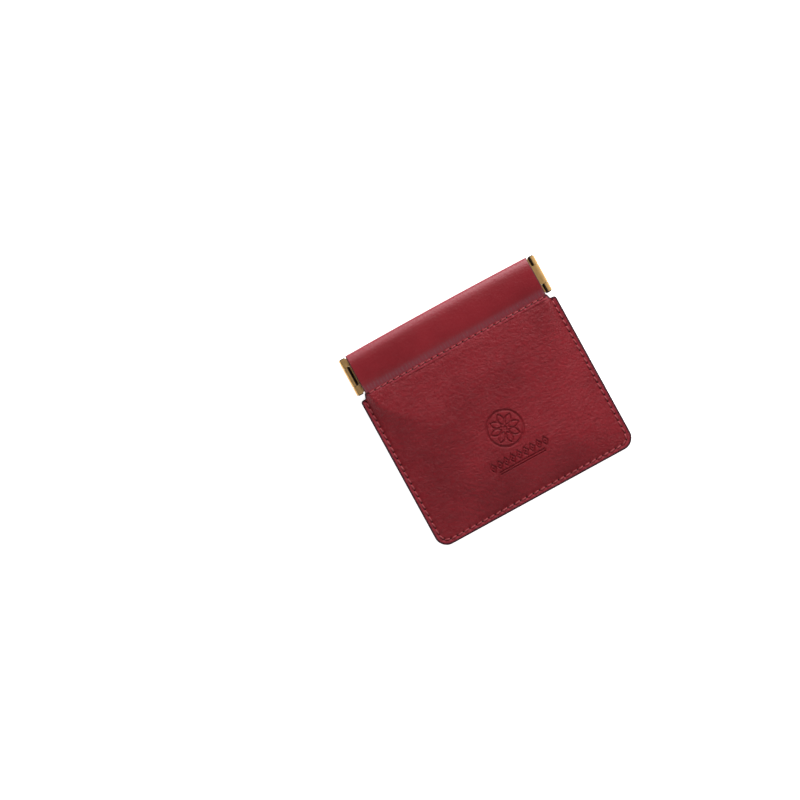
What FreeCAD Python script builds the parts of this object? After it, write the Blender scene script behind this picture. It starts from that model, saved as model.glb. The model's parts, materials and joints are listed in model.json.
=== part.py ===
import FreeCAD, Part

# Squeeze-frame leather coin purse, lying on its back.
# +X runs across the purse, +Y towards the mouth, +Z up through the thickness.
# The origin is under the middle of the purse, on the face it lies on. Lengths are millimetres.

import math
import os

from FreeCAD import Vector

# Whole purse
WIDTH = 85.0
HEIGHT = 83.0
HALF_WIDTH = WIDTH / 2
Y_TOP = HEIGHT / 2
Y_BOTTOM = -HEIGHT / 2

# Leather body
LEATHER = 1.1
LINING = 0.25
GLUE_GAP = 0.02
CORNER_RADIUS = 5.0
SLEEVE_SHOWING = 16.5
Y_EDGE = Y_TOP - SLEEVE_SHOWING
Y_LEDGE = Y_EDGE - 2.0
STEP_X = 39.7
STEP_SLOPE = 1.0
PUFF_TOP = 7.4
MOUTH_TOP = 5.8

# Heights of the layers at the stitched rim, from the table up
Z_BACK_LINING = LEATHER + GLUE_GAP
Z_FRONT_LINING = Z_BACK_LINING + LINING + 0.05
Z_FRONT_LEATHER = Z_FRONT_LINING + LINING + GLUE_GAP
Z_RIM_TOP = Z_FRONT_LEATHER + LEATHER

# Raised middle of the front panel: where its slopes start and where they end
FOOT_X = 38.6
FOOT_Y = Y_BOTTOM + 3.8
SHOULDER_X = 27.0
SHOULDER_Y = Y_BOTTOM + 17.0
CREST_Y = 6.0
MOUTH_X = 37.2
SLOPE_INSET = 1.0

# Stitching
STITCH_MARGIN = 1.8
STITCH_PITCH = 2.75
STITCH_GAP = 0.6
THREAD_RADIUS = 0.2
GROOVE_WIDTH = 1.2
SEAM_GROOVE = 0.7
GROOVE_DEPTH = 0.45
THREAD_SINK = 0.22
SEAM_Y = Y_EDGE - 0.7
SEAM_HALF = 36.6
BOTTOM_FOLD_Y = Y_BOTTOM + 2.7

# Spring frame
KNUCKLE_RADIUS = 1.5
STRIP = 0.5
STRIP_WIDTH = 15.0
STRIP_Y0 = Y_EDGE + 0.5
STRIP_Y1 = STRIP_Y0 + STRIP_WIDTH
PLATE_INSET = 0.3
OUTER_KNUCKLE = 3.5
KNUCKLE_GAP = 0.1
ROLL_DEG = 186.0
PIN_CLEARANCE = 0.05
PIN_RADIUS = KNUCKLE_RADIUS - STRIP - PIN_CLEARANCE
PIN_HEAD_RADIUS = 1.2
PIN_HEAD = 0.3
PIN_X = HALF_WIDTH - KNUCKLE_RADIUS
PIN_Z = 3.0
PLATE_TO_PIN = 1.25
FLEX_GAP = 0.12
SEGMENT = PIN_X / 2.5
FLEX_X = [-1.5 * SEGMENT, -0.5 * SEGMENT, 0.5 * SEGMENT, 1.5 * SEGMENT]
STRIP_OFFSET = KNUCKLE_RADIUS - STRIP / 2
SEGMENT_NAMES = ["left_end", "left", "centre", "right", "right_end"]

# Leather sleeves round the spring strips
SLEEVE_LEATHER = 0.7
SLEEVE_FOLD = 0.5
SLEEVE_X = PIN_X - KNUCKLE_RADIUS - 0.2
SLEEVE_Y0 = Y_EDGE + 0.05
SLEEVE_BOTTOM_WALL = 0.4
SLEEVE_NEAR = 0.08
SLEEVE_FAR = 2.83
SLEEVE_ROUND = 1.2
SLEEVE_GAP = 0.5

FRONT, BACK = 1, -1
LEFT, RIGHT = -1, 1


def box(x0, x1, y0, y1, z0, z1):
    """A block between the given coordinates."""
    return Part.makeBox(x1 - x0, y1 - y0, z1 - z0, Vector(x0, y0, z0))


def joined(shapes):
    """One solid from several that touch, with no leftover edges."""
    whole = shapes[0]
    for shape in shapes[1:]:
        whole = whole.fuse(shape)
    return whole.removeSplitter()


def save(name, shape):
    """Writes one sub-part, once it has proved to be sound."""
    solids = shape.Solids
    if not solids or not all(s.isValid() and s.isClosed() and s.Volume > 0 for s in solids):
        raise ValueError(name + " is not a sound solid")
    kept = solids[0] if len(solids) == 1 else Part.makeCompound(solids)
    kept.exportStep(os.path.join("parts", name + ".step"))
    print(name, len(solids), "solid(s)", round(sum(s.Volume for s in solids), 1), "mm3")


def rounded_slab(inset, z0, z1, y_top):
    """A slab as wide as the purse, less the inset, with its two bottom corners rounded."""
    half = HALF_WIDTH - inset
    low = Y_BOTTOM + inset
    slab = box(-half, half, low, y_top, z0, z1)
    corners = [e for e in slab.Edges if is_bottom_corner(e, low)]
    return slab.makeFillet(CORNER_RADIUS - inset, corners)


def is_bottom_corner(edge, low):
    """True for the upright edges at the bottom corners of a slab."""
    ends = [v.Point for v in edge.Vertexes]
    upright = abs(ends[0].z - ends[1].z) > 1e-6
    return upright and all(abs(p.y - low) < 1e-6 for p in ends)


def panel_slab(z0, z1, inset=0.0):
    """The flat cut of one panel: rounded at the bottom, stepped down beside the sleeve."""
    slab = rounded_slab(inset, z0, z1, Y_EDGE - inset)
    for side in (LEFT, RIGHT):
        near = side * (STEP_X - inset)
        far = near + side * STEP_SLOPE
        out = side * (HALF_WIDTH + 1)
        ledge = Y_LEDGE - inset
        top = Y_EDGE + 1
        slope = STEP_SLOPE / (Y_EDGE - Y_LEDGE)
        start = near - side * slope * (top - (Y_EDGE - inset))
        points = [(start, top), (far, ledge), (out, ledge), (out, top), (start, top)]
        notch = Part.Face(Part.makePolygon([Vector(x, y, z0 - 1) for x, y in points]))
        slab = slab.cut(notch.extrude(Vector(0, 0, z1 - z0 + 2)))
    return slab


def puff(foot_z, inset, drop, y_end):
    """The raised middle of the front panel as a closed block.

    An inset makes it smaller and a drop lowers it, as the inner faces need.
    """
    foot_x, foot_y = FOOT_X - inset, FOOT_Y + inset
    shoulder_x, shoulder_y = SHOULDER_X - inset / 2, SHOULDER_Y + inset / 2
    mouth_x, crest_y = MOUTH_X - inset, CREST_Y
    crest_z, mouth_z = PUFF_TOP - drop, MOUTH_TOP - drop
    reach = (y_end - Y_EDGE) / (Y_EDGE - crest_y)
    end_x = mouth_x + (mouth_x - shoulder_x) * reach
    end_z = mouth_z - (crest_z - mouth_z) * reach
    faces = []
    corner = {}
    for side in (LEFT, RIGHT):
        corner[side] = {
            "foot": Vector(side * foot_x, foot_y, foot_z),
            "waist": Vector(side * foot_x, crest_y, foot_z),
            "foot_end": Vector(side * max(foot_x, end_x), y_end, foot_z),
            "shoulder": Vector(side * shoulder_x, shoulder_y, crest_z),
            "crest": Vector(side * shoulder_x, crest_y, crest_z),
            "end": Vector(side * end_x, y_end, end_z),
        }
        c = corner[side]
        faces += [
            [c["foot"], c["waist"], c["crest"], c["shoulder"]],
            [c["waist"], c["end"], c["crest"]],
            [c["waist"], c["foot_end"], c["end"]],
        ]
    left, right = corner[LEFT], corner[RIGHT]
    faces += [
        [left["foot"], right["foot"], right["shoulder"], left["shoulder"]],
        [left["shoulder"], right["shoulder"], right["crest"], left["crest"]],
        [left["crest"], right["crest"], right["end"], left["end"]],
        [left["foot_end"], right["foot_end"], right["end"], left["end"]],
        [left["foot"], right["foot"], right["waist"], right["foot_end"], left["foot_end"], left["waist"]],
    ]
    shell = Part.makeShell([Part.Face(Part.makePolygon(points + points[:1])) for points in faces])
    return solid_of(shell)


def solid_of(shell):
    """A solid from a closed shell, with its faces turned outwards."""
    solid = Part.makeSolid(shell)
    if solid.Volume < 0:
        solid.reverse()
    return solid


def puffed_panel(rim_z0, thick, drop, inset, rim_inset):
    """A front layer: a flat stitched rim with the raised middle standing on it, hollow underneath."""
    rim = panel_slab(rim_z0, rim_z0 + thick, rim_inset)
    outside = puff(rim_z0 + thick, inset, drop, Y_EDGE - rim_inset)
    inside = puff(rim_z0 - 0.01, inset + SLOPE_INSET * thick, drop + thick, Y_EDGE + 1)
    return joined([rim, outside]).cut(inside)


def stitch_channel(z0, z1):
    """The shallow groove that the rim stitching lies in, round the sides and the bottom."""
    near, far = STITCH_MARGIN - GROOVE_WIDTH / 2, STITCH_MARGIN + GROOVE_WIDTH / 2
    y_top = Y_LEDGE - STITCH_MARGIN + GROOVE_WIDTH
    return rounded_slab(near, z0, z1, y_top).cut(rounded_slab(far, z0 - 1, z1 + 1, y_top + 1))


def seam_channel(z0, z1):
    """The groove for the seam that holds the sleeve to the panel."""
    half = SEAM_GROOVE / 2
    return box(-SEAM_HALF - half, SEAM_HALF + half, SEAM_Y - half, SEAM_Y + half, z0, z1)


def seam_height():
    """Height of the front panel's outer face along the sleeve seam."""
    fall = (PUFF_TOP - MOUTH_TOP) / (Y_EDGE - CREST_Y)
    return MOUTH_TOP + fall * (Y_EDGE - SEAM_Y)


def front_panel():
    """The front leather, puffed, with grooves for its two runs of stitching."""
    panel = puffed_panel(Z_FRONT_LEATHER, LEATHER, 0.0, 0.0, 0.0)
    panel = panel.cut(stitch_channel(Z_RIM_TOP - GROOVE_DEPTH, Z_RIM_TOP + 0.01))
    return panel.cut(seam_channel(seam_height() - GROOVE_DEPTH, PUFF_TOP))


def back_panel():
    """The back leather, flat, which the purse lies on."""
    panel = panel_slab(0.0, LEATHER)
    panel = panel.cut(stitch_channel(-0.01, GROOVE_DEPTH))
    return panel.cut(seam_channel(-0.01, GROOVE_DEPTH))


def front_lining():
    """The cloth glued inside the front leather."""
    return puffed_panel(Z_FRONT_LINING, LINING, LEATHER + GLUE_GAP, SLOPE_INSET * LEATHER + 0.2, 0.3)


def back_lining():
    """The cloth glued inside the back leather."""
    return panel_slab(Z_BACK_LINING, Z_BACK_LINING + LINING, 0.3)


def rim_holes():
    """Needle holes along the rim, evenly spaced from the left ledge round the bottom to the right ledge."""
    half = HALF_WIDTH - STITCH_MARGIN
    low = Y_BOTTOM + STITCH_MARGIN
    radius = CORNER_RADIUS - STITCH_MARGIN
    side = Y_LEDGE - STITCH_MARGIN - (low + radius)
    bend = radius * math.pi / 2
    base = 2 * (half - radius)
    length = 2 * side + 2 * bend + base
    count = round(length / STITCH_PITCH)

    def at(s):
        if s <= side:
            return Vector(-half, Y_LEDGE - STITCH_MARGIN - s, 0)
        s -= side
        if s <= bend:
            turn = math.pi + s / radius
            return Vector(-half + radius + radius * math.cos(turn), low + radius + radius * math.sin(turn), 0)
        s -= bend
        if s <= base:
            return Vector(-half + radius + s, low, 0)
        s -= base
        if s <= bend:
            turn = 1.5 * math.pi + s / radius
            return Vector(half - radius + radius * math.cos(turn), low + radius + radius * math.sin(turn), 0)
        return Vector(half, low + radius + (s - bend), 0)

    return [at(length * i / count) for i in range(count + 1)]


def stitches(holes, z):
    """Short lengths of thread between neighbouring holes, all at one height."""
    made = []
    for start, end in zip(holes, holes[1:]):
        along = (end - start).normalize()
        length = (end - start).Length - STITCH_GAP
        first = start + along * (STITCH_GAP / 2) + Vector(0, 0, z)
        made.append(Part.makeCylinder(THREAD_RADIUS, length, first, along))
    return made


def rim_stitches(z):
    """The rim stitching in three groups: left side, bottom with its corners, right side."""
    groups = {"left_side": [], "bottom": [], "right_side": []}
    for stitch in stitches(rim_holes(), z):
        middle = stitch.CenterOfMass
        if middle.y < BOTTOM_FOLD_Y:
            groups["bottom"].append(stitch)
        else:
            groups["left_side" if middle.x < 0 else "right_side"].append(stitch)
    return groups


def seam_stitches(z):
    """The straight row of stitches along the sleeve seam."""
    count = round(2 * SEAM_HALF / STITCH_PITCH)
    holes = [Vector(-SEAM_HALF + 2 * SEAM_HALF * i / count, SEAM_Y, 0) for i in range(count + 1)]
    return stitches(holes, z)


def knuckle(end, face, y0, y1):
    """One rolled knuckle: the strip's end carried on over the pin and round the outside of it.

    end is LEFT or RIGHT, and face is FRONT or BACK: which strip the knuckle belongs to.
    """
    inner = KNUCKLE_RADIUS - STRIP
    reach = ROLL_DEG * math.pi / 180

    def at(radius, turn):
        x = end * (PIN_X + radius * math.sin(turn))
        return Vector(x, y0, PIN_Z + face * radius * math.cos(turn))

    outside = Part.Arc(at(KNUCKLE_RADIUS, 0), at(KNUCKLE_RADIUS, reach / 2), at(KNUCKLE_RADIUS, reach))
    inside = Part.Arc(at(inner, reach), at(inner, reach / 2), at(inner, 0))
    close_far = Part.LineSegment(at(KNUCKLE_RADIUS, reach), at(inner, reach))
    close_near = Part.LineSegment(at(inner, 0), at(KNUCKLE_RADIUS, 0))
    wire = Part.Wire([c.toShape() for c in (outside, close_far, inside, close_near)])
    return Part.Face(wire).extrude(Vector(0, y1 - y0, 0))


def knuckle_rows(end, face):
    """Where along the pin a strip has knuckles: two outer ones, or one in the middle.

    The two strips are alike, one turned about.
    """
    two_outer = end * face < 0
    inner0, inner1 = STRIP_Y0 + OUTER_KNUCKLE, STRIP_Y1 - OUTER_KNUCKLE
    if two_outer:
        return [(STRIP_Y0, inner0), (inner1, STRIP_Y1)]
    return [(inner0 + KNUCKLE_GAP, inner1 - KNUCKLE_GAP)]


def strip_segment(index, face):
    """One length of a spring strip, and at the ends its tabs and rolled knuckles."""
    z_far = PIN_Z + face * KNUCKLE_RADIUS
    z0, z1 = sorted((z_far, z_far - face * STRIP))
    plate_end = PIN_X - PLATE_TO_PIN
    marks = [-plate_end] + FLEX_X + [plate_end]
    x0, x1 = marks[index], marks[index + 1]
    x0 += FLEX_GAP / 2 if index > 0 else 0
    x1 -= FLEX_GAP / 2 if index < 4 else 0
    pieces = [box(x0, x1, STRIP_Y0 + PLATE_INSET, STRIP_Y1 - PLATE_INSET, z0, z1)]
    if index in (0, 4):
        end = LEFT if index == 0 else RIGHT
        for y0, y1 in knuckle_rows(end, face):
            tab_x0, tab_x1 = sorted((end * plate_end, end * PIN_X))
            pieces += [box(tab_x0, tab_x1, y0, y1, z0, z1), knuckle(end, face, y0, y1)]
    return joined(pieces)


def sleeve_segment(index, face):
    """One length of a leather sleeve: a flattened tube round its spring strip."""
    marks = [-SLEEVE_X] + FLEX_X + [SLEEVE_X]
    x0, x1 = marks[index], marks[index + 1]
    x0 += SLEEVE_GAP / 2 if index > 0 else 0
    x1 -= SLEEVE_GAP / 2 if index < 4 else 0
    z0, z1 = sorted((PIN_Z + face * SLEEVE_NEAR, PIN_Z + face * SLEEVE_FAR))
    outside = box(x0, x1, SLEEVE_Y0, Y_TOP, z0, z1)
    outside = outside.makeFillet(SLEEVE_ROUND, [e for e in outside.Edges if runs_across(e)])
    cavity = box(
        x0 - 1,
        x1 + 1,
        SLEEVE_Y0 + SLEEVE_BOTTOM_WALL,
        Y_TOP - SLEEVE_FOLD,
        z0 + SLEEVE_LEATHER,
        z1 - SLEEVE_LEATHER,
    )
    return outside.cut(cavity)


def runs_across(edge):
    """True for an edge that runs along X."""
    ends = [v.Point for v in edge.Vertexes]
    return abs(ends[0].x - ends[1].x) > 1e-6


def hinge_pin(end):
    """The pin through one set of knuckles, peened to a low head at each end."""
    x = end * PIN_X
    along = Vector(0, 1, 0)
    foot = Vector(x, STRIP_Y0 - PIN_CLEARANCE, PIN_Z)
    shaft = Part.makeCylinder(PIN_RADIUS, STRIP_WIDTH + 2 * PIN_CLEARANCE, foot, along)
    heads = []
    for y, way in ((STRIP_Y1 + PIN_CLEARANCE, 1), (STRIP_Y0 - PIN_CLEARANCE, -1)):
        seat = Vector(x, y, PIN_Z)
        heads.append(Part.makeCone(PIN_HEAD_RADIUS, PIN_RADIUS, PIN_HEAD, seat, along * way))
    return joined([shaft] + heads)


def main():
    os.makedirs("parts", exist_ok=True)
    save("front_panel", front_panel())
    save("back_panel", back_panel())
    save("front_lining", front_lining())
    save("back_lining", back_lining())
    for face, word in ((FRONT, "front"), (BACK, "back")):
        for index, name in enumerate(SEGMENT_NAMES):
            save(word + "_spring_" + name, strip_segment(index, face))
            save(word + "_sleeve_" + name, sleeve_segment(index, face))
    save("left_hinge_pin", hinge_pin(LEFT))
    save("right_hinge_pin", hinge_pin(RIGHT))
    needle = rim_stitches(Z_RIM_TOP - THREAD_SINK)
    bobbin = rim_stitches(THREAD_SINK)
    for place in ("left_side", "bottom", "right_side"):
        save(place + "_needle_thread", Part.makeCompound(needle[place]))
        save(place + "_bobbin_thread", Part.makeCompound(bobbin[place]))
    save("front_seam_thread", Part.makeCompound(seam_stitches(seam_height() - THREAD_SINK)))
    save("back_seam_thread", Part.makeCompound(seam_stitches(THREAD_SINK)))


main()
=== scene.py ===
import json
import math
import random

import bpy
import numpy as np
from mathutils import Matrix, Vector, noise


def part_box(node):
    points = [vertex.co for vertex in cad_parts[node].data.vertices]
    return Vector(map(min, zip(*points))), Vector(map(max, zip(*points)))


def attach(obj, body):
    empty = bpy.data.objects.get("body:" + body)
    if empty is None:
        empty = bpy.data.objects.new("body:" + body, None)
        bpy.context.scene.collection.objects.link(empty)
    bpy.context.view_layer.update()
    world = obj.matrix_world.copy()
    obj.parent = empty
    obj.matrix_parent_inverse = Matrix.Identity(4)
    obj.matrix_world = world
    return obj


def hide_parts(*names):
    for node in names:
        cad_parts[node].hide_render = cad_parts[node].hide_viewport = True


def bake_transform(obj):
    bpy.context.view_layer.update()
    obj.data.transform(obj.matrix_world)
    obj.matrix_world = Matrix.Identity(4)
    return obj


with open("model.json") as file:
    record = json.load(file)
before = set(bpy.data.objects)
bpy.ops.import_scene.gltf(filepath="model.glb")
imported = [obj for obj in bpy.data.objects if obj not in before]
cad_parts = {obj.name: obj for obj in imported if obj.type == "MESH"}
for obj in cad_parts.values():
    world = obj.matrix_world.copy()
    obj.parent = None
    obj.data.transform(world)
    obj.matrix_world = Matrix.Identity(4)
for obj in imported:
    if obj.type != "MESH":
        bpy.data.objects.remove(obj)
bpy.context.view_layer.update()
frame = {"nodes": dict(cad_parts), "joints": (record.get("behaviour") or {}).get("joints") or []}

MM = 0.001

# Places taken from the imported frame, in millimetres
FRONT_LOW, FRONT_HIGH = (np.array(c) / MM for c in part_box("front_panel"))
SLEEVE_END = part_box("front_sleeve_right_end")[1].x / MM
JOINT = {j["name"]: j for j in frame["joints"]}
HALF = FRONT_HIGH[0]
Y_LOW, Y_EDGE = FRONT_LOW[1], FRONT_HIGH[1]
Y_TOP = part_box("front_sleeve_centre")[1].y / MM
PIN = np.array(JOINT["mouth_squeeze"]["pos_m"]) / MM
FOLD_Y = JOINT["bottom_fold"]["pos_m"][1] / MM
SIDE_X = abs(JOINT["left_back_side_fold"]["pos_m"][0]) / MM
FLEX_IN = JOINT["back_flex_right_inner"]["pos_m"][0] / MM
FLEX_OUT = JOINT["back_flex_right_outer"]["pos_m"][0] / MM
FLEX_DEG = JOINT["back_flex_right_inner"]["range_deg"][1]
BACK_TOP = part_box("back_panel")[1].z / MM
RIM_UNDER = FRONT_LOW[2]
LEATHER = BACK_TOP
RIM_TOP = RIM_UNDER + LEATHER

# Cut, edges and thickness of the leather and the lining
CORNER = 5.0
LEDGE_Y = Y_EDGE - 2.0
LEDGE_ROUND = 1.1
NECK_X = 40.4
NECK_TOP_X = 39.6
STITCH_IN = 1.9
SEAM_Y = Y_EDGE - 0.62
SEAM_HALF = 38.2
PITCH = 2.75
MOUTH_TOP = 5.75
CREST = 6.5
TAIL_Z = PIN[2] + 1.80
EDGE_WIDTH = 1.35
EDGE_ROUND = 0.42
EDGE_EASED = 0.3
FLEX_REACH = 4.5
REACH_LOW = 30.0
REACH_MOUTH = 3.0
LINING_THICK = 0.22
SLEEVE_THICK = 0.6

# Thread and its marks in the leather
THREAD_RADIUS = 0.27
SEAM_THREAD_RADIUS = 0.22
STITCH_SHARE = 0.80
STITCH_LEAN = 0.16
STITCH_SIDES = 8
STITCH_RINGS = 11
HOLE_RADIUS = 0.42
PULL_RADIUS = 0.95
FRONT_SINK = 0.18
BACK_SEAT = 0.60
PUCKER_PITCH = 1.38
PUCKER_DEPTH = 0.09
HANDLED_DEPTH = 0.11

# Spacing of the mesh points
FRONT_STEP = 0.38
MARK_STEP = 0.17
BACK_STEP = 0.42
LINING_STEP = 0.8
SLEEVE_STEP = 0.45
SLEEVE_RING = 132


def smooth(t):
    """0 below 0, 1 above 1, with a soft turn between."""
    t = np.clip(t, 0.0, 1.0)
    return t * t * (3 - 2 * t)


def swell(t):
    """0 to 1, steep at first and level at the end, as a stuffed edge rises."""
    t = np.clip(t, 0.0, 1.0)
    return 1 - (1 - t) ** 2.6


def bump(r, width):
    return np.exp(-((r / width) ** 2))


def fractal(x, y, octaves, seed):
    """Smooth noise at many points."""
    flat = zip(np.ravel(x).tolist(), np.ravel(y).tolist())
    made = [noise.fractal(Vector((a, b, seed)), 1.0, 2.0, octaves) for a, b in flat]
    return np.array(made).reshape(np.shape(x))


# ---------------------------------------------------------------- outline

def half_width(y):
    """Half the panel's width at a height up the purse."""
    low = Y_LOW + CORNER
    if y < low:
        return HALF - CORNER + math.sqrt(max(0.0, CORNER**2 - (low - y) ** 2))
    if y <= LEDGE_Y:
        up = max(0.0, y - (LEDGE_Y - LEDGE_ROUND))
        return HALF - LEDGE_ROUND + math.sqrt(max(0.0, LEDGE_ROUND**2 - up**2))
    return NECK_X + (NECK_TOP_X - NECK_X) * (y - LEDGE_Y) / (Y_EDGE - LEDGE_Y)


def edge_distance(x, y):
    """How far a point lies inside the outline."""
    ax = np.abs(x)
    low = Y_LOW + CORNER
    inner = HALF - CORNER
    d = np.minimum(HALF - ax, y - Y_LOW)
    corner = (ax > inner) & (y < low)
    d = np.where(corner, CORNER - np.hypot(ax - inner, y - low), d)
    neck = NECK_X + (NECK_TOP_X - NECK_X) * (y - LEDGE_Y) / (Y_EDGE - LEDGE_Y)
    above = y > LEDGE_Y
    d = np.where(above, np.minimum(neck - ax, Y_EDGE - y), d)
    shoulder = (~above) & (ax > NECK_X)
    return np.maximum(np.where(shoulder, np.minimum(d, LEDGE_Y - y + 0.02), d), 0.0)


def spaced(start, stop, step):
    """Even positions after start, up to and with stop."""
    count = max(1, round((stop - start) / step))
    return [start + (stop - start) * (i + 1) / count for i in range(count)]


def graded(start, stop, step, fine_start=True, fine_stop=True):
    """Positions from start to stop, closer together at the ends where an edge is rounded."""
    fine = [0.0, 0.06, 0.16, 0.3, 0.5, 0.75]
    a = [start + f for f in fine] if fine_start else [start]
    b = [stop - f for f in reversed(fine)] if fine_stop else [stop]
    return a + spaced(a[-1], b[0], step)[:-1] + b


def panel_rows(step, detail=None):
    """Rows up the panel, with finer ones across the emblem when a detail step is given."""
    rows = graded(Y_LOW, FOLD_Y, step, True, False)
    if detail:
        rows += spaced(FOLD_Y, MARK_LOW[1], step)
        rows += spaced(MARK_LOW[1], MARK_HIGH[1], detail)
    rows += graded(rows[-1], LEDGE_Y, step, False, True)[1:]
    rows += graded(LEDGE_Y + 0.05, Y_EDGE, step * 0.7, False, True)
    return np.array(rows)


def panel_columns(step, detail=None):
    """Columns across the panel, from -1 to 1, with finer ones across the emblem."""
    if not detail:
        right = graded(0.0, HALF, step, False, True)
        return np.array([-x for x in reversed(right[1:])] + right) / HALF
    left = [-x for x in reversed(graded(-MARK_LOW[0], HALF, step, False, True))]
    middle = spaced(MARK_LOW[0], 0.0, detail) + spaced(0.0, MARK_HIGH[0], detail)
    return np.array(left + middle + graded(MARK_HIGH[0], HALF, step, False, True)[1:]) / HALF


# ---------------------------------------------------------------- stitches

def rim_holes():
    """Needle holes from the left ledge round the bottom to the right ledge."""
    half, low, radius = HALF - STITCH_IN, Y_LOW + STITCH_IN, CORNER - STITCH_IN
    top = LEDGE_Y - 1.0
    side, bend, base = top - low - radius, radius * math.pi / 2, 2 * (half - radius)
    length = 2 * side + 2 * bend + base
    count = round(length / PITCH)
    holes = []
    for i in range(count + 1):
        s = length * i / count
        if s <= side:
            p = (-half, top - s)
        elif s <= side + bend:
            a = math.pi + (s - side) / radius
            p = (-half + radius + radius * math.cos(a), low + radius + radius * math.sin(a))
        elif s <= side + bend + base:
            p = (-half + radius + s - side - bend, low)
        elif s <= side + 2 * bend + base:
            a = 1.5 * math.pi + (s - side - bend - base) / radius
            p = (half - radius + radius * math.cos(a), low + radius + radius * math.sin(a))
        else:
            p = (half, low + radius + s - side - 2 * bend - base)
        holes.append(p)
    return np.array(holes)


def seam_holes():
    count = round(2 * SEAM_HALF / PITCH)
    x = np.linspace(-SEAM_HALF, SEAM_HALF, count + 1)
    return np.stack([x, np.full(len(x), SEAM_Y)], 1)


RIM = rim_holes()
SEAM = seam_holes()


def near_holes(x, y, holes, reach):
    """Closeness to the nearest needle hole, 1 at its middle."""
    flat = np.stack([np.ravel(x), np.ravel(y)], 1)
    best = np.full(len(flat), 1e9)
    for h in holes:
        best = np.minimum(best, np.hypot(flat[:, 0] - h[0], flat[:, 1] - h[1]))
    return bump(best, reach).reshape(np.shape(x))


def stitch_relief(x, y):
    """How far the leather is drawn down along its stitching, and the holes by themselves."""
    d = edge_distance(x, y)
    rim_line = bump(d - STITCH_IN, 0.7) * smooth((LEDGE_Y - 0.4 - y) / 0.6)
    seam_line = 0.3 * bump(y - SEAM_Y, 0.5) * smooth((SEAM_HALF + 0.4 - np.abs(x)) / 0.5)
    line = np.maximum(rim_line, seam_line)
    band = (d < STITCH_IN + 2.5) | (np.abs(y - SEAM_Y) < 2.5)
    holes = np.zeros(np.shape(x))
    pull = np.zeros(np.shape(x))
    spots = np.concatenate([RIM, SEAM])
    holes[band] = near_holes(x[band], y[band], spots, HOLE_RADIUS)
    pull[band] = near_holes(x[band], y[band], spots, PULL_RADIUS)
    return 0.10 * line + 0.10 * pull + 0.40 * holes, holes


# ---------------------------------------------------------------- emblem

EMBLEM = np.array([1.0, -12.3])
EMBLEM_R = 7.0
BAND = np.array([1.0, -23.8])
BAND_HALF = 12.6
BAND_COUNT = 9
PETAL_START, PETAL_END, PETAL_HALF = 1.6, 5.8, 1.15
PRESS = 0.46
MARK_LOW = np.array([BAND[0] - BAND_HALF - 0.6, BAND[1] - 4.0])
MARK_HIGH = np.array([BAND[0] + BAND_HALF + 0.6, EMBLEM[1] + EMBLEM_R + 1.0])


def stroke(distance, width, soft):
    """1 inside a line of the given half width, 0 outside it."""
    return smooth((width - distance) / soft + 0.5)


def rosette(x, y):
    """A plain eight-petal rosette in a ring."""
    r, a = np.hypot(x, y), np.arctan2(y, x)
    ring = stroke(np.abs(r - EMBLEM_R), 0.42, 0.24)
    sector = math.pi / 4
    local = (a + sector / 2) % sector - sector / 2
    u, v = r * np.cos(local), r * np.sin(local)
    along = np.clip((u - PETAL_START) / (PETAL_END - PETAL_START), 0, 1)
    petal_half = PETAL_HALF * np.sin(math.pi * along) ** 0.75
    inside = (u > PETAL_START) & (u < PETAL_END)
    outside_gap = np.hypot(u - np.clip(u, PETAL_START, PETAL_END), v)
    gap = np.where(inside, np.abs(np.abs(v) - petal_half), outside_gap)
    petals = stroke(gap, 0.32, 0.24)
    heart = stroke(r, 0.95, 0.24)
    return np.maximum.reduce([ring, petals, heart * 0.8])


def border(x, y):
    """A row of dotted lozenges over two rules."""
    cell = 2 * BAND_HALF / BAND_COUNT
    across = (x + cell / 2) % cell - cell / 2
    size = np.abs(across) / 1.12 + np.abs(y) / 1.7
    within = np.abs(x) < BAND_HALF
    lozenge = stroke(np.abs(size - 1.0), 0.28, 0.2) * within
    dot = stroke(size, 0.32, 0.2) * within
    ends = smooth((BAND_HALF - 2.6 - np.abs(x)) / 0.3)
    rules = stroke(np.abs(np.abs(y + 2.9) - 0.45), 0.2, 0.2) * ends
    return np.maximum.reduce([lozenge, dot, rules])


def emblem_depth(x, y):
    """How deep the decoration is pressed into the leather, from 0 to 1."""
    upper = rosette(x - EMBLEM[0], y - EMBLEM[1])
    lower = border(x - BAND[0], y - BAND[1])
    return np.maximum(upper, lower)


# ---------------------------------------------------------------- meshes

def quads(rows, columns, wrap=False):
    """Faces of a grid of points, row by row; a wrapped grid joins its last column to its first."""
    faces = []
    last = columns if wrap else columns - 1
    for r in range(rows - 1):
        for c in range(last):
            n = (c + 1) % columns
            here, above = r * columns, (r + 1) * columns
            faces.append((here + c, here + n, above + n, above + c))
    return np.array(faces, int)


class Shell:
    """Points, faces and marks of a surface before it is cut into pieces."""

    def __init__(self):
        self.points, self.faces, self.marks = [], [], {}
        self.count = 0

    def add(self, points, faces, **marks):
        points = np.asarray(points, float).reshape(-1, 3)
        self.faces.append(np.asarray(faces, int) + self.count)
        for name, value in sorted(marks.items()):
            values = np.broadcast_to(np.ravel(value), (len(points),))
            self.marks.setdefault(name, []).append(values)
        self.points.append(points)
        start = self.count
        self.count += len(points)
        return start

    def link(self, faces):
        self.faces.append(np.asarray(faces, int))

    def arrays(self):
        marks = {k: np.concatenate(v) for k, v in self.marks.items()}
        return np.concatenate(self.points), np.concatenate(self.faces), marks


def whole_mesh(name, points, faces):
    mesh = bpy.data.meshes.new(name)
    mesh.from_pydata((points * MM).tolist(), [], faces.tolist())
    mesh.update()
    return mesh


def vertex_normals(points, faces):
    mesh = whole_mesh("normals", points, faces)
    out = np.zeros(len(points) * 3, np.float32)
    mesh.vertices.foreach_get("normal", out)
    bpy.data.meshes.remove(mesh)
    return out.reshape(-1, 3)


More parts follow.
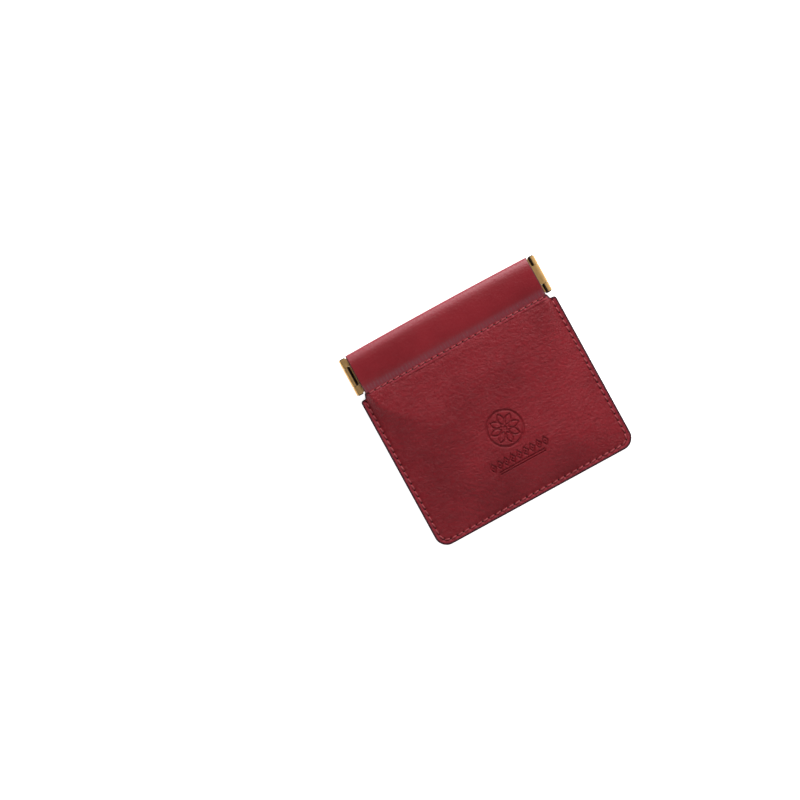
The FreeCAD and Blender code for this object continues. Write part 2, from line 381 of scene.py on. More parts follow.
def piece(name, points, faces, marks, normals, keep, material):
    """One object from the faces kept, with the whole surface's normals so that no cut shows."""
    faces = faces[keep]
    used, inverse = np.unique(faces, return_inverse=True)
    mesh = whole_mesh(name, points[used], inverse.reshape(faces.shape))
    mesh.polygons.foreach_set("use_smooth", [True] * len(mesh.polygons))
    mesh.normals_split_custom_set_from_vertices(normals[used].tolist())
    rest = mesh.attributes.new("rest", "FLOAT_VECTOR", "POINT")
    rest.data.foreach_set("vector", points[used].astype(np.float32).ravel())
    for key, value in marks.items():
        mark = mesh.attributes.new(key, "FLOAT", "POINT")
        mark.data.foreach_set("value", value[used].astype(np.float32))
    obj = bpy.data.objects.new(name, mesh)
    bpy.context.scene.collection.objects.link(obj)
    mesh.materials.append(material)
    return obj


def weigh(obj, function):
    """Bakes obj's placement into its mesh and works out the share given by a function of place at each
    point; the share is not used.
    """
    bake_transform(obj)
    count = len(obj.data.vertices)
    co = np.zeros(count * 3, np.float32)
    obj.data.vertices.foreach_get("co", co)
    co = co.reshape(-1, 3) / MM
    share = np.broadcast_to(function(co[:, 0], co[:, 1]), (count,))


# ---------------------------------------------------------------- how the mouth bows

def turn_share(d):
    """Share of a flex joint's turn at a distance past the joint, spread over a little of each link."""
    return smooth((d + FLEX_REACH) / (2 * FLEX_REACH))


def bow(x):
    """Share of the side's lift at a distance from the middle: the strip's own curve."""
    ax = np.abs(x)
    one = math.sin(math.radians(FLEX_DEG))
    two = math.sin(math.radians(2 * FLEX_DEG))
    inner, outer = ax - FLEX_IN, ax - FLEX_OUT
    lift = one * inner * turn_share(inner) + (two - one) * outer * turn_share(outer)
    full = one * (PIN[0] - FLEX_IN) + (two - one) * (PIN[0] - FLEX_OUT)
    closing = smooth((ax - (SIDE_X - 3.2)) / 2.6)
    return np.clip(lift / full, 0, 1) * (1 - closing) + closing


def front_share(x, y):
    return bow(x)


def back_share(x, y):
    return bow(x) * smooth((y - (FOLD_Y - 1.5)) / 4.0)


# ---------------------------------------------------------------- materials

def new_material(name):
    material = bpy.data.materials.new(name)
    material.use_nodes = True
    tree = material.node_tree
    tree.nodes.clear()
    out = tree.nodes.new("ShaderNodeOutputMaterial")
    shader = tree.nodes.new("ShaderNodeBsdfPrincipled")
    tree.links.new(shader.outputs[0], out.inputs[0])
    return material, tree, shader


def node(tree, kind, inputs=None, **settings):
    made = tree.nodes.new(kind)
    for key, value in settings.items():
        setattr(made, key, value)
    for key, value in (inputs or {}).items():
        if isinstance(value, bpy.types.NodeSocket):
            tree.links.new(value, made.inputs[key])
        else:
            made.inputs[key].default_value = value
    return made


def attribute_node(tree, name):
    return node(tree, "ShaderNodeAttribute", attribute_name=name, attribute_type="GEOMETRY")


def place(tree, scale, attribute="rest"):
    """The rest position of a point in millimetres, stretched by a scale on each axis."""
    if attribute:
        source = attribute_node(tree, attribute).outputs["Vector"]
    else:
        source = node(tree, "ShaderNodeTexCoord").outputs["Object"]
        scale = tuple(s / MM for s in scale)
    return node(tree, "ShaderNodeMapping", {"Vector": source, "Scale": scale}).outputs[0]


def texture(tree, at, scale, detail=3.0, rough=0.55):
    inputs = {"Vector": at, "Scale": scale, "Detail": detail, "Roughness": rough}
    return node(tree, "ShaderNodeTexNoise", inputs).outputs[0]


def spread(tree, value, low, high, out_low, out_high):
    """A value between low and high carried over to a new range."""
    inputs = {0: value, 1: low, 2: high, 3: out_low, 4: out_high}
    return node(tree, "ShaderNodeMapRange", inputs).outputs[0]


def ramp(tree, fac, stops):
    made = node(tree, "ShaderNodeValToRGB", {"Fac": fac})
    elements = made.color_ramp.elements
    while len(elements) < len(stops):
        elements.new(0.5)
    for element, (position, colour) in zip(elements, stops):
        element.position = position
        element.color = colour if len(colour) == 4 else (*colour, 1.0)
    return made.outputs["Color"]


def mix(tree, fac, a, b, kind="MIX"):
    made = node(tree, "ShaderNodeMix", data_type="RGBA", blend_type=kind)
    for socket, value in ((made.inputs[0], fac), (made.inputs[6], a), (made.inputs[7], b)):
        if isinstance(value, bpy.types.NodeSocket):
            tree.links.new(value, socket)
        else:
            socket.default_value = value if isinstance(value, float) else (*value, 1.0)
    return made.outputs[2]


def maths(tree, operation, a, b=0.0, clamp=False):
    made = node(tree, "ShaderNodeMath", {0: a, 1: b}, operation=operation, use_clamp=clamp)
    return made.outputs[0]


def mark(tree, name):
    return attribute_node(tree, name).outputs["Fac"]


CRIMSON = (0.225, 0.0105, 0.0175)
CRIMSON_DEEP = (0.175, 0.0065, 0.012)
# Painted highlight: a lighter crimson for the bulging rim of the panels and the top of the sleeves'
# fold.
CRIMSON_PAINTED_HIGHLIGHT = (0.33, 0.026, 0.046)
EDGE_PAINT = (0.045, 0.007, 0.015)
# Painted reflection: the grey-mauve of the low surroundings seen in the sleeve's slope just above the
# seam.
MAUVE_PAINTED_REFLECTION = (0.20, 0.045, 0.062)
# Painted shade: the dark inside a needle hole, laid on a shallow dent.
HOLE_PAINTED_SHADE = (0.012, 0.001, 0.002)


def ridges(tree, at, scale, width):
    """Thin branching lines where a warped noise crosses its middle value: 1 on a line, else 0."""
    inputs = {"Vector": at, "Scale": scale, "Detail": 4.0, "Distortion": 1.4}
    field = node(tree, "ShaderNodeTexNoise", inputs)
    away = maths(tree, "ABSOLUTE", maths(tree, "SUBTRACT", field.outputs[0], 0.5))
    return spread(tree, away, 0.0, width, 1.0, 0.0)


def leather(name, grain, wrinkle, gloss, shine):
    """Dyed leather: cloudy colour, pebbled grain, creases, painted edges, painted shade in the needle
    holes, a painted highlight on the rims and folds and a painted mauve reflection above the seam.
    """
    material, tree, shader = new_material(name)
    even = place(tree, (1.0, 1.0, 1.0))
    cloud = texture(tree, even, 0.045, 3.0, 0.5)
    light = tuple(c * 1.08 for c in CRIMSON)
    colour = ramp(tree, cloud, [(0.30, CRIMSON_DEEP), (0.55, CRIMSON), (0.80, light)])
    fine = texture(tree, even, 2.6, 5.0, 0.65)
    shade = ramp(tree, fine, [(0.3, (0.78, 0.74, 0.74)), (0.7, (1.1, 1.1, 1.1))])
    colour = mix(tree, 0.35, colour, shade, "MULTIPLY")
    cells = node(tree, "ShaderNodeTexVoronoi", {"Vector": even, "Scale": 1.15}, feature="SMOOTH_F1")
    pebble = cells.outputs["Distance"]
    crease = ridges(tree, place(tree, (0.62, 1.0, 0.8)), 0.42, 0.05)
    faint = ridges(tree, place(tree, (1.0, 0.7, 0.8)), 0.80, 0.07)
    hole = spread(tree, mark(tree, "hole"), 0.4, 0.7, 0.0, 1.0)
    ragged = maths(tree, "MULTIPLY_ADD", texture(tree, even, 0.9, 3.0), 0.5)
    ragged.node.inputs[2].default_value = -0.25
    edge = spread(tree, maths(tree, "ADD", mark(tree, "edge"), ragged), 0.42, 0.62, 0.0, 1.0)
    colour = mix(tree, maths(tree, "MULTIPLY", mark(tree, "pressed"), 0.45), colour, CRIMSON_DEEP)
    # Painted highlight: a lighter crimson mixed in over the panel rims and the sleeve folds, broken up
    # by the fine noise.
    worn = spread(tree, mark(tree, "worn"), 0.2, 1.0, 0.0, 0.8)
    worn = maths(tree, "MULTIPLY", worn, maths(tree, "ADD", fine, 0.25), True)
    colour = mix(tree, worn, colour, CRIMSON_PAINTED_HIGHLIGHT)
    # Painted reflection: a grey-mauve mixed into the sleeve's band just above the seam, where its slope
    # faces the low light.
    colour = mix(tree, maths(tree, "MULTIPLY", mark(tree, "band"), 0.5), colour, MAUVE_PAINTED_REFLECTION)
    colour = mix(tree, edge, colour, EDGE_PAINT)
    # Painted shade: the needle holes, only shallow dents in the mesh, are darkened nearly to black.
    colour = mix(tree, hole, colour, HOLE_PAINTED_SHADE)
    tree.links.new(colour, shader.inputs["Base Color"])
    rough = spread(tree, fine, 0.3, 0.7, gloss - 0.05, gloss + 0.07)
    rough = maths(tree, "ADD", rough, maths(tree, "MULTIPLY", edge, 0.3), True)
    tree.links.new(rough, shader.inputs["Roughness"])
    shader.inputs["Specular IOR Level"].default_value = shine
    height = maths(tree, "MULTIPLY", pebble, grain)
    for line, share in ((crease, -wrinkle), (faint, -0.45 * wrinkle), (fine, 0.4 * grain)):
        height = maths(tree, "ADD", height, maths(tree, "MULTIPLY", line, share))
    relief = node(tree, "ShaderNodeBump", {"Height": height, "Distance": 0.00012, "Strength": 1.0})
    tree.links.new(relief.outputs[0], shader.inputs["Normal"])
    return material


def thread_material():
    material, tree, shader = new_material("waxed_thread")
    even = place(tree, (1.0, 1.0, 1.0))
    tone = texture(tree, even, 1.3, 3.0)
    colour = ramp(tree, tone, [(0.3, (0.31, 0.040, 0.049)), (0.7, (0.47, 0.097, 0.109))])
    groove = mark(tree, "groove")
    # Painted shade: darker in the grooves between the two plies.
    colour = mix(tree, maths(tree, "MULTIPLY", groove, 0.45), colour, (0.11, 0.008, 0.012))
    tree.links.new(colour, shader.inputs["Base Color"])
    fibre = texture(tree, even, 9.0, 4.0, 0.7)
    rough = spread(tree, fibre, 0.3, 0.7, 0.5, 0.72)
    tree.links.new(rough, shader.inputs["Roughness"])
    relief = node(tree, "ShaderNodeBump", {"Height": fibre, "Distance": 0.00004, "Strength": 0.8})
    tree.links.new(relief.outputs[0], shader.inputs["Normal"])
    shader.inputs["Specular IOR Level"].default_value = 0.3
    return material


def lining_material():
    material, tree, shader = new_material("lining_weave")
    at = place(tree, (1.0, 1.0, 1.0))
    parts = node(tree, "ShaderNodeSeparateXYZ", {0: at})
    turns = 2 * math.pi / 0.42
    warp = maths(tree, "SINE", maths(tree, "MULTIPLY", parts.outputs[0], turns))
    weft = maths(tree, "SINE", maths(tree, "MULTIPLY", parts.outputs[1], turns))
    weave = maths(tree, "MULTIPLY", warp, weft)
    slub = texture(tree, at, 1.6, 4.0)
    tone = maths(tree, "ADD", maths(tree, "MULTIPLY", weave, 0.18), slub)
    colour = ramp(tree, tone, [(0.25, (0.05, 0.008, 0.014)), (0.75, (0.13, 0.022, 0.032))])
    tree.links.new(colour, shader.inputs["Base Color"])
    rough = spread(tree, slub, 0.2, 0.8, 0.75, 0.95)
    tree.links.new(rough, shader.inputs["Roughness"])
    relief = node(tree, "ShaderNodeBump", {"Height": weave, "Distance": 0.00006, "Strength": 0.7})
    tree.links.new(relief.outputs[0], shader.inputs["Normal"])
    return material


def metal(name, bright, dark, rough_low, rough_high):
    """Plated metal with tarnish in clouds and fine scratches."""
    material, tree, shader = new_material(name)
    at = place(tree, (1.0, 1.0, 1.0), None)
    cloud = texture(tree, at, 0.45, 5.0, 0.65)
    colour = ramp(tree, cloud, [(0.34, dark), (0.60, bright)])
    geometry = node(tree, "ShaderNodeNewGeometry")
    worn = spread(tree, geometry.outputs["Pointiness"], 0.50, 0.60, 0.0, 0.7)
    colour = mix(tree, worn, colour, tuple(min(1.0, c * 1.5) for c in bright))
    tree.links.new(colour, shader.inputs["Base Color"])
    scratch = texture(tree, place(tree, (6.0, 0.5, 6.0), None), 1.0, 4.0, 0.7)
    rough = spread(tree, scratch, 0.3, 0.7, rough_low, rough_high)
    tree.links.new(rough, shader.inputs["Roughness"])
    shader.inputs["Metallic"].default_value = 1.0
    relief = node(tree, "ShaderNodeBump", {"Height": scratch, "Distance": 0.00002, "Strength": 0.6})
    tree.links.new(relief.outputs[0], shader.inputs["Normal"])
    return material


BODY = leather("grained_leather", 1.5, 0.7, 0.47, 0.26)
SLEEVE = leather("smooth_leather", 0.3, 0.10, 0.38, 0.45)
THREAD = thread_material()
LINING = lining_material()
BRASS = metal("antique_brass", (0.58, 0.355, 0.145), (0.30, 0.17, 0.06), 0.36, 0.55)
# Dark steel for the pins, kept dark so that the slot beside each knuckle reads near-black: partly the
# steel's colour, partly painted shade.
STEEL = metal("dark_steel_slot_shade", (0.12, 0.10, 0.08), (0.05, 0.04, 0.035), 0.35, 0.5)


# ---------------------------------------------------------------- panels

def crest_height(y):
    """Height of the front panel's outer face along the middle of the purse."""
    rise = swell((y - FOLD_Y) / 24.0)
    fall = smooth((y - 2.0) / (Y_EDGE - 2.0))
    return RIM_TOP + (CREST - RIM_TOP) * rise - (CREST - MOUTH_TOP) * fall


def front_height(x, y):
    """Outer face of the front panel before its stitches, creases and emblem."""
    reach = REACH_LOW + (REACH_MOUTH - REACH_LOW) * smooth((y + 16.0) / 39.0) ** 1.3
    inward = (SIDE_X - 0.3 - np.abs(x)) / reach
    side = 0.6 * swell(inward) + 0.4 * smooth(inward)
    return RIM_TOP + (crest_height(y) - RIM_TOP) * side


def lip(y):
    """How far the pared top edge of a panel sinks towards the sleeve that comes out from under it."""
    gentle = 0.36 * smooth((y - (Y_EDGE - 4.2)) / 3.6)
    return gentle + 0.42 * smooth((y - (Y_EDGE - 0.6)) / 0.6)


def rounded(d, radius=EDGE_ROUND):
    """How far a face falls away within a radius of a cut edge."""
    t = np.clip((radius - d) / radius, 0, 1)
    return radius * (1 - np.sqrt(np.clip(1 - t * t, 0, 1)))


def wrinkles(x, y, degrees, length, width, seed):
    """Shallow grooves that run mostly one way: 1 along a groove, 0 away from it."""
    c, s = math.cos(math.radians(degrees)), math.sin(math.radians(degrees))
    u, v = x * c + y * s, y * c - x * s
    v = v + 1.2 * fractal(x * 0.12, y * 0.12, 2, seed + 0.5)
    field = fractal(u / length, v / width, 3, seed)
    return bump(field, 0.16)


def handled_relief(x, y):
    """Creases from handling, set out as groups that run in different directions."""
    upper = smooth((x + 6) / 14) * smooth((y + 12) / 14)
    left = bump((x + 21) / 11, 1.0) * bump((y + 32) / 9, 1.0)
    right = bump((x - 31) / 9, 1.0) * bump((y + 26) / 14, 1.0)
    across = 1 - np.maximum.reduce([upper, left, right])
    relief = upper * wrinkles(x, y, -24, 5.5, 1.5, 11.0)
    relief += 2.2 * left * wrinkles(x, y, 118, 5.0, 1.6, 23.0)
    relief += 1.8 * right * wrinkles(x, y, 60, 6.0, 1.7, 31.0)
    relief += 0.8 * across * wrinkles(x, y, 8, 6.5, 1.7, 47.0)
    return relief


def panel_grid(step, detail=None):
    rows, columns = panel_rows(step, detail), panel_columns(step, detail)
    widths = np.array([half_width(y) for y in rows])
    x = np.outer(widths, columns)
    y = np.repeat(rows[:, None], len(columns), 1)
    return x, y


def slab(x, y, top, under, **marks):
    """A closed sheet between two faces over the same grid."""
    shell = Shell()
    rows, columns = x.shape
    faces = quads(rows, columns)
    upper = shell.add(np.stack([x, y, top], -1), faces, **marks)
    lower_marks = {k: (v if k == "edge" else 0.0) for k, v in marks.items()}
    lower = shell.add(np.stack([x, y, under], -1), faces[:, ::-1], **lower_marks)
    loop = list(range(columns))
    loop += [r * columns + columns - 1 for r in range(1, rows)]
    loop += [(rows - 1) * columns + c for c in range(columns - 2, -1, -1)]
    loop += [r * columns for r in range(rows - 2, 0, -1)]
    pairs = zip(loop, loop[1:] + loop[:1])
    shell.link([(upper + a, lower + a, lower + b, upper + b) for a, b in pairs])
    return shell.arrays()


def centres(points, faces):
    return points[faces].mean(1)


def make_front_panel():
    x, y = panel_grid(FRONT_STEP, MARK_STEP)
    d = edge_distance(x, y)
    base = front_height(x, y)
    inside = smooth((d - 2.6) / 4.0)
    low = fractal(x * 0.045, y * 0.06, 2, 3.1) * 0.30
    creases = fractal(x * 0.10, y * 0.42, 4, 7.7) * 0.03 - HANDLED_DEPTH * handled_relief(x, y)
    top = base + (low + creases) * inside
    drawn, holes = stitch_relief(x, y)
    pressed = emblem_depth(x, y)
    mouth = smooth((y - (Y_EDGE - 1.2)) / 0.4) * smooth((NECK_TOP_X - 0.6 - np.abs(x)) / 0.4)
    cut = rounded(d) * (1 - mouth)
    top = top - drawn - PRESS * pressed - cut - lip(y)
    under = np.maximum(base - LEATHER - 0.15 * inside, RIM_UNDER) + rounded(d, EDGE_EASED) * (1 - mouth)
    over_tail = (y > Y_EDGE - 2.8) & (np.abs(x) < 38.6)
    under = np.where(over_tail, np.maximum(under, TAIL_Z + 0.06), under)
    top = np.maximum(top, under + 0.08)
    edge = np.clip(1.0 - d / EDGE_WIDTH, 0, 1) * (1 - mouth)
    # Painted highlight: the rim between the stitches and the cut edge bulges, and this mark makes it a
    # lighter crimson.
    worn = bump(d - 1.2, 0.35) * 0.9 * (1 - mouth)
    points, faces, marks = slab(x, y, top, under, edge=edge, hole=holes, pressed=pressed, worn=worn)
    normals = vertex_normals(points, faces)
    middle = centres(points, faces)
    above = middle[:, 1] > FOLD_Y
    keeps = {
        "left": above & (middle[:, 0] < 0),
        "right": above & (middle[:, 0] > 0),
        "foot": ~above,
    }
    for part, keep in keeps.items():
        obj = piece("front_panel_" + part, points, faces, marks, normals, keep, BODY)
        if part == "foot":
            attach(obj, "back_leaf")
        else:
            weigh(obj, front_share)
        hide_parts("front_panel")


def make_back_panel():
    x, y = panel_grid(BACK_STEP)
    d = edge_distance(x, y)
    drawn, holes = stitch_relief(x, y)
    creases = fractal(x * 0.10, y * 0.42, 3, 21.4) * 0.05
    outer = drawn + rounded(d) + np.maximum(creases, 0) * smooth((d - 2.6) / 4.0) + 0.02
    inner = BACK_TOP - rounded(d, EDGE_EASED)
    edge = np.clip(1.0 - d / EDGE_WIDTH, 0, 1)
    points, faces, marks = slab(x, y, inner, outer, edge=edge, hole=0.0, pressed=0.0, worn=0.0)
    marks["hole"][len(points) // 2:] = np.ravel(holes)
    normals = vertex_normals(points, faces)
    middle = centres(points, faces)
    for side, keep in (("left", middle[:, 0] < 0), ("right", middle[:, 0] > 0)):
        obj = piece("back_panel_" + side, points, faces, marks, normals, keep, BODY)
        weigh(obj, back_share)
        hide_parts("back_panel")


def lining_faces(word, x, y):
    """Heights of the upper and lower face of a lining."""
    if word == "back":
        return BACK_TOP + 0.26 + 0 * x, BACK_TOP + 0.02 + 0 * x
    slack = fractal(x * 0.09, y * 0.12, 3, 40.0) * 0.12
    ceiling = np.maximum(front_height(x, y) - LEATHER - 0.2, RIM_UNDER) - 0.04
    top = ceiling - np.maximum(slack, 0)
    under = np.maximum(top - LINING_THICK, BACK_TOP + 0.32)
    return np.maximum(top, under + 0.05), under


def make_linings():
    x, y = panel_grid(LINING_STEP)
    inset = (HALF - 1.0) / HALF
    x = x * inset
    y = Y_LOW + 1.0 + (y - Y_LOW) * (Y_EDGE - Y_LOW - 1.4) / (Y_EDGE - Y_LOW)
    for word, a, share in (("front", "front_leaf", front_share), ("back", "back_leaf", back_share)):
        rows = y[:, 0] > (FOLD_Y if word == "front" else Y_LOW)
        for side, sign in (("left", -1), ("right", 1)):
            columns = x[0] * sign >= 0
            hx, hy = x[rows][:, columns], y[rows][:, columns]
            top, under = lining_faces(word, hx, hy)
            points, faces, marks = slab(hx, hy, top, under)
            layers = faces[: 2 * (hx.shape[0] - 1) * (hx.shape[1] - 1)]
            normals = vertex_normals(points, layers)
            everything = np.ones(len(faces), bool)
            obj = piece(f"{word}_lining_{side}", points, faces, marks, normals, everything, LINING)
            weigh(obj, share)
            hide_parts(word + "_lining")


# ---------------------------------------------------------------- sleeves

def sleeve_profile(inset):
    """A sleeve's section as a loop of (y, height over the pins), from its tail and back."""
    outer = [
        (-2.3, 1.72), (-1.0, 1.77), (-0.1, 1.88), (0.5, 2.00), (1.5, 2.24), (2.6, 2.52),
        (4.0, 2.79), (6.0, 2.94), (8.2, 2.97), (10.4, 2.92), (12.0, 2.80), (13.4, 2.56),
        (14.7, 2.18), (15.7, 1.74), (16.4, 1.28), (16.75, 0.86), (16.65, 0.48), (16.1, 0.20),
        (15.0, 0.10), (12.0, 0.08), (8.0, 0.08), (4.0, 0.08), (1.6, 0.14), (0.5, 0.42),
        (-0.3, 0.68), (-1.1, 0.74), (-2.3, 0.78),
    ]
    pts = np.array(outer) + (Y_EDGE, 0.0)
    loop = np.concatenate([pts, pts[:1]])
    step = np.hypot(*np.diff(loop, axis=0).T)
    at = np.concatenate([[0], np.cumsum(step)])
    s = np.linspace(0, at[-1], SLEEVE_RING, endpoint=False)
    p = np.stack([np.interp(s, at, loop[:, 0]), np.interp(s, at, loop[:, 1])], 1)
    for _ in range(9):
        p = (np.roll(p, 1, 0) + 2 * p + np.roll(p, -1, 0)) / 4
    if inset:
        t = np.roll(p, -1, 0) - np.roll(p, 1, 0)
        n = np.stack([-t[:, 1], t[:, 0]], 1) / np.hypot(t[:, 0], t[:, 1])[:, None]
        centre = np.interp(p[:, 0] - Y_EDGE, [-2.3, -0.1, 1.9, 15.1], [1.25, 1.25, 1.33, 1.33])
        p = p - n * inset
        low = p[:, 0] < Y_EDGE + 0.4
        p[low, 1] = centre[low] + np.sign(p[low, 1] - centre[low]) * 0.03
        p[:, 0] = np.clip(p[:, 0], Y_EDGE - 2.0, Y_EDGE + 16.0)
    return p


def make_sleeve(word):
    sign = 1 if word == "front" else -1
    outer, inner = sleeve_profile(0.0), sleeve_profile(SLEEVE_THICK)
    cut = (FLEX_IN + FLEX_OUT) / 2
    right = graded(0.0, cut, SLEEVE_STEP, False, False)
    right += graded(cut, SLEEVE_END, SLEEVE_STEP, False, True)[1:]
    xs = np.array([-v for v in reversed(right[1:])] + right)
    count = len(outer)
    shell = Shell()
    x = np.repeat(xs[:, None], count, 1)
    drop = 0.35 * (np.abs(x) / SLEEVE_END) ** 2
    starts = []
    for which, loop in enumerate((outer, inner)):
        y0 = np.repeat(loop[None, :, 0], len(xs), 0)
        z0 = np.repeat(loop[None, :, 1], len(xs), 0)
        stretch = smooth((y0 - (Y_TOP - 7.0)) / 7.0)
        tail_end = Y_EDGE - 2.3 + 2.1 * smooth((np.abs(x) - 35.0) / 2.5)
        y = np.maximum(y0 - drop * stretch, tail_end)
        edge = np.zeros_like(x)
        pucker_and_reflection = np.zeros_like(x)
        z = z0.copy()
        if which == 0:
            face = smooth((z0 - 1.7) / 0.3)
            ripple = np.sin(x * 2 * math.pi / PUCKER_PITCH + 2.2 * fractal(x * 0.3, y0 * 0.25, 2, 5.0))
            # The band just above the seam carries real puckers in its surface and, through the band
            # mark, a painted mauve reflection in its colour.
            band = smooth((y0 - Y_EDGE + 0.5) / 0.5) * smooth((Y_EDGE + 3.4 - y0) / 2.0)
            pucker_and_reflection = band * face
            z = z + PUCKER_DEPTH * ripple * pucker_and_reflection
            z = z + 0.05 * fractal(x * 0.05, y0 * 0.1, 2, 9.0) * face
            end = SLEEVE_END - np.abs(x)
            edge = np.clip(1.0 - end / 0.55, 0, 1)
            z = z - rounded(end, EDGE_EASED) * np.sign(z0 - 1.3)
        points = np.stack([x, y, PIN[2] + sign * z], -1)
        faces = quads(len(xs), count, True)
        if (which == 0) != (sign > 0):
            faces = faces[:, ::-1]
        # Painted highlight: the outer face is made a lighter crimson over the top of the fold.
        worn = smooth((y0 - (Y_TOP - 5.0)) / 4.6) * (which == 0)
        made = shell.add(points, faces, edge=edge, hole=0.0, pressed=0.0, worn=worn, band=pucker_and_reflection)
        starts.append(made)
    for row, flip in ((0, False), (len(xs) - 1, True)):
        ring = []
        for c in range(count):
            n = (c + 1) % count
            a, b = starts[0] + row * count + c, starts[0] + row * count + n
            e, f = starts[1] + row * count + c, starts[1] + row * count + n
            ring.append((a, e, f, b) if flip == (sign > 0) else (b, f, e, a))
        shell.link(ring)
    points, faces, marks = shell.arrays()
    normals = vertex_normals(points, faces)
    middle = centres(points, faces)[:, 0]
    names = ["left_end", "left", "centre", "right", "right_end"]
    bounds = [-SLEEVE_END - 1, -cut, 0.0, cut, SLEEVE_END + 1]
    hinges = [-FLEX_OUT, -FLEX_IN, FLEX_IN, FLEX_OUT]
    for i in range(4):
        keep = (middle > bounds[i]) & (middle < bounds[i + 1])
        a, b = f"{word}_strip_{names[i]}", f"{word}_strip_{names[i + 1]}"
        obj = piece(f"{word}_sleeve_part_{i + 1}", points, faces, marks, normals, keep, SLEEVE)
        weigh(obj, lambda x, y, hinge=hinges[i]: turn_share(x - hinge))
        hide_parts(f"{word}_sleeve_{names[i]}", f"{word}_sleeve_{names[i + 1]}")


# ---------------------------------------------------------------- thread

def stitch_points(length, radius):
    """One stitch of two-ply thread: a shallow arch whose ends dive into their holes."""
    t = np.linspace(0, 1, STITCH_RINGS)
    along = (t - 0.5) * length
    arch = 0.9 * radius * (1 - (2 * t - 1) ** 4) - 1.4 * radius * np.abs(2 * t - 1) ** 5
    fat = radius * (0.60 + 0.40 * np.sin(math.pi * t) ** 0.5)
    a = np.linspace(0, 2 * math.pi, STITCH_SIDES, endpoint=False)
    twist = t[:, None] * 2.6 * math.pi
    ply = np.cos(2 * (a[None, :] - twist))
    r = fat[:, None] * (1 + 0.13 * ply)
    x = np.repeat(along[:, None], STITCH_SIDES, 1)
    y = r * np.cos(a)[None, :]
    z = arch[:, None] + r * np.sin(a)[None, :]
    # Grooves between the plies, where the thread's colour is darkened as painted shade.
    groove = np.clip(-ply, 0, 1)
    return np.stack([x, y, z], -1), groove


def stitch_run(shell, holes, height, sign, rng, radius):
    """Stitches between neighbouring holes, leaning a little as a saddle stitch does."""
    for start, end in zip(holes, holes[1:]):
        span = math.dist(start, end)
        shape, groove = stitch_points(span * STITCH_SHARE, radius * rng.uniform(0.92, 1.08))
        rings, sides = groove.shape
        angle = math.atan2(end[1] - start[1], end[0] - start[0])
        angle = angle + STITCH_LEAN + rng.uniform(-0.04, 0.04)
        c, s = math.cos(angle), math.sin(angle)
        cx, cy = (start[0] + end[0]) / 2, (start[1] + end[1]) / 2
        p = shape.reshape(-1, 3)
        x, y = cx + p[:, 0] * c - p[:, 1] * s, cy + p[:, 0] * s + p[:, 1] * c
        z = height(np.array([cx]), np.array([cy]))[0] + sign * p[:, 2]
        faces = quads(rings, sides, True)
        caps = []
        for ring in (0, rings - 1):
            loop = [ring * sides + k for k in range(sides)]
            for k in range(1, sides - 2, 2):
                quad = (loop[0], loop[k], loop[k + 1], loop[k + 2])
                caps.append(quad if ring == 0 else quad[::-1])
        all_faces = np.concatenate([faces, np.array(caps)])
        if sign < 0:
            all_faces = all_faces[:, ::-1]
        shell.add(np.stack([x, y, z], 1), all_faces[:, ::-1], groove=groove.ravel())


def thread_object(name, holes, height, sign, seed, radius):
    shell = Shell()
    rng = random.Random(seed)
    stitch_run(shell, holes, height, sign, rng, radius)
    points, faces, marks = shell.arrays()
    normals = vertex_normals(points, faces)
    obj = piece(name, points, faces, marks, normals, np.ones(len(faces), bool), THREAD)
    return obj


def front_seat(x, y):
    return front_height(x, y) - lip(y) - FRONT_SINK


def back_seat(x, y):
    return BACK_SEAT + 0 * x


def make_threads():
    left = [i for i, h in enumerate(RIM) if h[1] >= FOLD_Y and h[0] < 0]
    right = [i for i, h in enumerate(RIM) if h[1] >= FOLD_Y and h[0] > 0]
    middle = len(SEAM) // 2
    runs = {
        "left_side": RIM[: left[-1] + 1],
        "bottom": RIM[left[-1]: right[0] + 1],
        "right_side": RIM[right[0]:],
    }
    seams = {"left": SEAM[: middle + 1], "right": SEAM[middle:]}
    for face, seat, sign, kind, share in (
        ("front", front_seat, 1, "needle", front_share),
        ("back", back_seat, -1, "bobbin", back_share),
    ):
        for place_name, holes in runs.items():
            name, seed = f"{place_name}_{face}_stitches", len(place_name) + sign
            obj = thread_object(name, holes, seat, sign, seed, THREAD_RADIUS)
            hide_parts(f"{place_name}_{kind}_thread")
            if place_name == "bottom":
                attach(obj, "back_leaf")
            else:
                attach(obj, f"{place_name.split('_')[0]}_{face}_side")
        for side, holes in seams.items():
            name, seed = f"{face}_seam_stitches_{side}", 50 + sign + len(side)
            obj = thread_object(name, holes, seat, sign, seed, SEAM_THREAD_RADIUS)
            weigh(obj, share)
            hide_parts(f"{face}_seam_thread")


# ---------------------------------------------------------------- carried-over metal

def finish_metal():
    for name, obj in frame["nodes"].items():
        if "_spring_" in name or name.endswith("_pin"):
            obj.data.materials.clear()
            obj.data.materials.append(STEEL if name.endswith("_pin") else BRASS)


# ---------------------------------------------------------------- studio

ROLL = math.radians(28.7)
FRAME_WIDTH = 0.3054
LENS = 110.0
SENSOR = 36.0


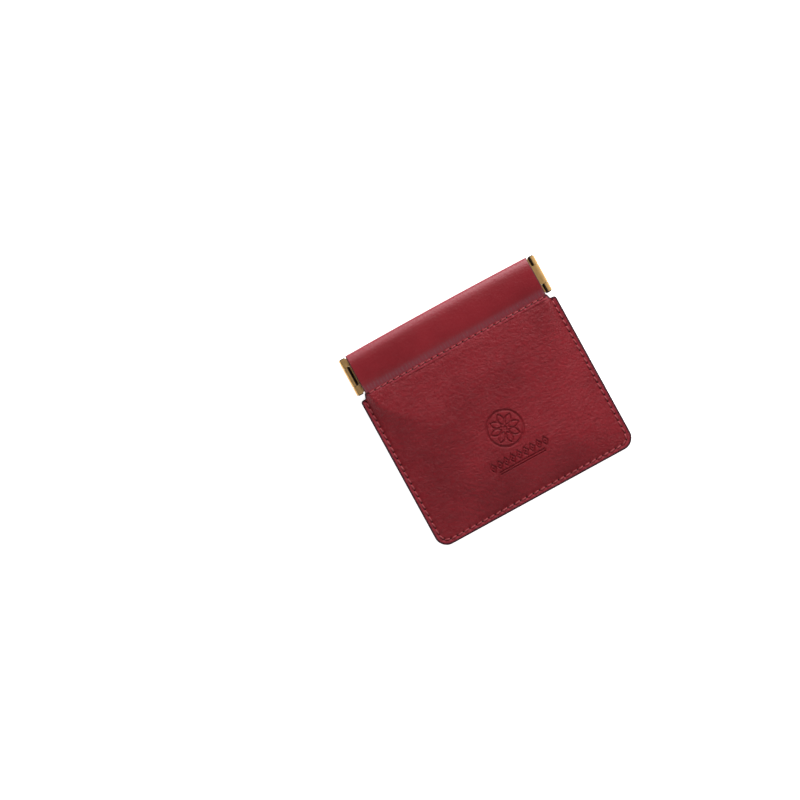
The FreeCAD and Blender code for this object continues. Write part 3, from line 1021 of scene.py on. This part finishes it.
def make_camera():
    data = bpy.data.cameras.new("camera")
    data.lens, data.sensor_width = LENS, SENSOR
    data.clip_start, data.clip_end = 0.05, 10.0
    camera = bpy.data.objects.new("camera", data)
    bpy.context.scene.collection.objects.link(camera)
    distance = FRAME_WIDTH / 2 / (SENSOR / 2 / LENS)
    camera.location = (-0.02891, 0.01636, distance + 0.005)
    camera.rotation_euler = (0, 0, -ROLL)
    bpy.context.scene.camera = camera


def area(name, place_at, size, power, size_y=None):
    data = bpy.data.lights.new(name, "AREA")
    data.shape = "RECTANGLE"
    data.size, data.size_y = size, size_y or size
    data.energy = power
    lamp = bpy.data.objects.new(name, data)
    lamp.location = place_at
    lamp.rotation_mode = "QUATERNION"
    lamp.rotation_quaternion = (-Vector(place_at)).to_track_quat("-Z", "Y")
    bpy.context.scene.collection.objects.link(lamp)


def make_studio():
    mesh = bpy.data.meshes.new("floor")
    s = 1.5
    mesh.from_pydata([(-s, -s, 0), (s, -s, 0), (s, s, 0), (-s, s, 0)], [], [(0, 1, 2, 3)])
    floor = bpy.data.objects.new("floor", mesh)
    bpy.context.scene.collection.objects.link(floor)
    material, tree, shader = new_material("white_floor")
    shader.inputs["Base Color"].default_value = (0.93, 0.93, 0.93, 1)
    shader.inputs["Roughness"].default_value = 0.9
    shader.inputs["Emission Color"].default_value = (1, 1, 1, 1)
    shader.inputs["Emission Strength"].default_value = 0.9
    mesh.materials.append(material)
    up = np.array([math.sin(ROLL), math.cos(ROLL)])
    right = np.array([math.cos(ROLL), -math.sin(ROLL)])
    key = up * 0.68 + right * 0.02
    area("key", (key[0], key[1], 0.44), 0.8, 9.6, size_y=0.4)
    fill = right * 0.75 - up * 0.1
    area("fill", (fill[0], fill[1], 0.38), 0.4, 1.0)
    low = -up * 0.62 - right * 0.1
    area("low", (low[0], low[1], 0.62), 0.5, 2.2)
    world = bpy.data.worlds.new("world")
    world.use_nodes = True
    background = world.node_tree.nodes["Background"]
    background.inputs[0].default_value = (1.0, 1.0, 1.0, 1.0)
    background.inputs[1].default_value = 0.08
    bpy.context.scene.world = world
    bpy.context.scene.view_settings.view_transform = "Standard"


make_camera()
make_studio()
make_front_panel()
make_back_panel()
make_linings()
make_sleeve("front")
make_sleeve("back")
make_threads()
finish_metal()
